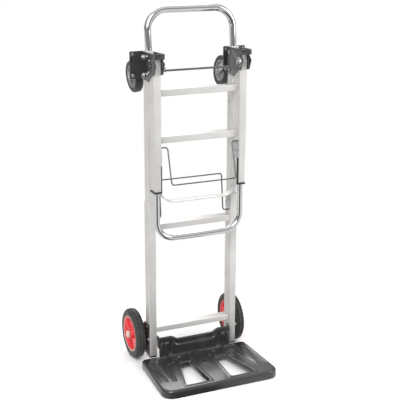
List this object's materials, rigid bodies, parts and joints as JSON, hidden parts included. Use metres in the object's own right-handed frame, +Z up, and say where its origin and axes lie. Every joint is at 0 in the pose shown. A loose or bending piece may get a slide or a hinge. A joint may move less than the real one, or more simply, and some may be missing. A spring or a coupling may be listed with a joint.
{
  "type": "hand truck",
  "caption": "Convertible two-in-one hand truck with folding nose plate, sliding deck, swing-out push frame and swivel castors, standing upright.",
  "frame": {"origin": "centre of the footprint on the floor, midway across the truck and midway from the nose plate's front edge to the back of the main wheels", "axes": "+X across the truck to the right seen from the front, -Y forward over the nose plate, +Z up"},
  "size_m": [0.436, 0.442, 1.2435],
  "materials": {
    "satin_aluminium": "satin extruded tube",
    "bright_chrome": "polished tube",
    "zinc_steel": "zinc plated",
    "black_steel": "semi-gloss powder coat",
    "black_plastic": "moulded",
    "grey_plastic": "moulded",
    "red_plastic": "moulded",
    "wheel_rubber": "grooved tread",
    "castor_rubber": "smooth dark"
  },
  "bodies": {
    "frame": {"lower_rail_left": "satin_aluminium", "lower_rail_right": "satin_aluminium", "rail_guides": "grey_plastic", "lower_crossbars": "satin_aluminium", "rail_feet": "black_plastic", "axle_bracket_left": "black_steel", "axle_bracket_right": "black_steel", "frame_rivets": "zinc_steel", "main_axle": "zinc_steel", "axle_caps": "zinc_steel", "axle_spacers": "zinc_steel", "nose_pins": "zinc_steel", "lower_lock_plates": "zinc_steel"},
    "wheel_left": {"tyre_left": "wheel_rubber", "wheel_hub_left": "red_plastic"},
    "wheel_right": {"tyre_right": "wheel_rubber", "wheel_hub_right": "red_plastic"},
    "toe": {"nose_plate": "black_steel", "nose_back": "black_steel"},
    "deck": {"inner_rail_left": "satin_aluminium", "inner_rail_right": "satin_aluminium", "rail_heads": "grey_plastic", "top_handle": "bright_chrome", "castor_bracket_left": "black_steel", "castor_bracket_right": "black_steel", "castor_bolts": "zinc_steel", "rail_bolts": "zinc_steel", "pivot_bolts": "black_steel", "pivot_caps": "zinc_steel", "cheek_rivets": "zinc_steel", "castor_top_plates": "zinc_steel"},
    "castor_left": {"castor_fork_left": "zinc_steel", "castor_pin_left": "zinc_steel"},
    "castor_right": {"castor_fork_right": "zinc_steel", "castor_pin_right": "zinc_steel"},
    "castor_wheel_left": {"castor_tyre_left": "castor_rubber", "castor_hub_left": "grey_plastic"},
    "castor_wheel_right": {"castor_tyre_right": "castor_rubber", "castor_hub_right": "grey_plastic"},
    "push_frame": {"push_tube_left": "satin_aluminium", "push_tube_right": "satin_aluminium", "push_tube_caps": "grey_plastic", "push_crossbars": "satin_aluminium", "pivot_bushes": "black_plastic", "upper_lock_plates": "zinc_steel", "tube_screws": "zinc_steel"},
    "stage_two": {"slide_tubes": "satin_aluminium", "slide_end_caps": "black_plastic", "slide_bridge": "satin_aluminium", "bridge_rivets": "zinc_steel"},
    "grip": {"push_handle": "bright_chrome", "grip_guides": "black_plastic"},
    "release_bar": {"release_rod": "zinc_steel"},
    "wire_upper": {"bail_upper": "zinc_steel"},
    "wire_lower": {"bail_lower": "zinc_steel"},
    "pin_upper_left": {"lock_pin_upper_left": "zinc_steel"},
    "pin_upper_right": {"lock_pin_upper_right": "zinc_steel"},
    "pin_lower_left": {"lock_pin_lower_left": "zinc_steel"},
    "pin_lower_right": {"lock_pin_lower_right": "zinc_steel"}
  },
  "joints": [
    {"name": "wheel_left_spin", "type": "hinge", "parent": "frame", "child": "wheel_left", "pos_m": [-0.1915, 0.132, 0.089], "axis": [1, 0, 0], "continuous": true},
    {"name": "wheel_right_spin", "type": "hinge", "parent": "frame", "child": "wheel_right", "pos_m": [0.1915, 0.132, 0.089], "axis": [1, 0, 0], "continuous": true},
    {"name": "toe_fold", "type": "hinge", "parent": "frame", "child": "toe", "pos_m": [0, 0.046, 0.095], "axis": [-1, 0, 0], "range_deg": [0, 90]},
    {"name": "deck_slide", "type": "slide", "parent": "frame", "child": "deck", "axis": [0, 0, 1], "range_m": [-0.35, 0]},
    {"name": "castor_left_swivel", "type": "hinge", "parent": "deck", "child": "castor_left", "pos_m": [-0.167, 0.098, 1.0565], "axis": [0, 1, 0], "continuous": true},
    {"name": "castor_left_roll", "type": "hinge", "parent": "castor_left", "child": "castor_wheel_left", "pos_m": [-0.16256, 0.164, 1.00569], "axis": [0.9962, 0, 0.0872], "continuous": true},
    {"name": "castor_right_swivel", "type": "hinge", "parent": "deck", "child": "castor_right", "pos_m": [0.167, 0.098, 1.0565], "axis": [0, 1, 0], "continuous": true},
    {"name": "castor_right_roll", "type": "hinge", "parent": "castor_right", "child": "castor_wheel_right", "pos_m": [0.16256, 0.164, 1.00569], "axis": [0.9962, 0, -0.0872], "continuous": true},
    {"name": "push_frame_swing", "type": "hinge", "parent": "deck", "child": "push_frame", "pos_m": [0, -0.001, 1.062], "axis": [-1, 0, 0], "range_deg": [0, 95]},
    {"name": "stage_two_slide", "type": "slide", "parent": "push_frame", "child": "stage_two", "axis": [0, 0, -1], "range_m": [0, 0.25]},
    {"name": "grip_slide", "type": "slide", "parent": "stage_two", "child": "grip", "axis": [0, 0, -1], "range_m": [0, 0.25]},
    {"name": "release_bar_slide", "type": "slide", "parent": "deck", "child": "release_bar", "axis": [0, 0, 1], "range_m": [0, 0.008], "stiffness_N_per_m": 400, "springref_m": -0.004},
    {"name": "wire_upper_swing", "type": "hinge", "parent": "push_frame", "child": "wire_upper", "pos_m": [0, -0.015, 0.797], "axis": [1, 0, 0], "range_deg": [0, 20]},
    {"name": "wire_lower_swing", "type": "hinge", "parent": "frame", "child": "wire_lower", "pos_m": [0, 0.05, 0.537], "axis": [-1, 0, 0], "range_deg": [-20, 0]},
    {"name": "pin_upper_left_slide", "type": "slide", "parent": "push_frame", "child": "pin_upper_left", "axis": [-1, 0, 0], "range_m": [0, 0.0019]},
    {"name": "pin_lower_left_slide", "type": "slide", "parent": "frame", "child": "pin_lower_left", "axis": [-1, 0, 0], "range_m": [0, 0.0035]},
    {"name": "pin_upper_right_slide", "type": "slide", "parent": "push_frame", "child": "pin_upper_right", "axis": [1, 0, 0], "range_m": [0, 0.0019]},
    {"name": "pin_lower_right_slide", "type": "slide", "parent": "frame", "child": "pin_lower_right", "axis": [1, 0, 0], "range_m": [0, 0.0035]}
  ],
  "couplings": [
    {"joint": "pin_upper_left_slide", "follows": "wire_upper_swing", "m_per_rad": 0.005443},
    {"joint": "pin_lower_left_slide", "follows": "wire_lower_swing", "m_per_rad": -0.010026},
    {"joint": "pin_upper_right_slide", "follows": "wire_upper_swing", "m_per_rad": 0.005443},
    {"joint": "pin_lower_right_slide", "follows": "wire_lower_swing", "m_per_rad": -0.010026}
  ]
}
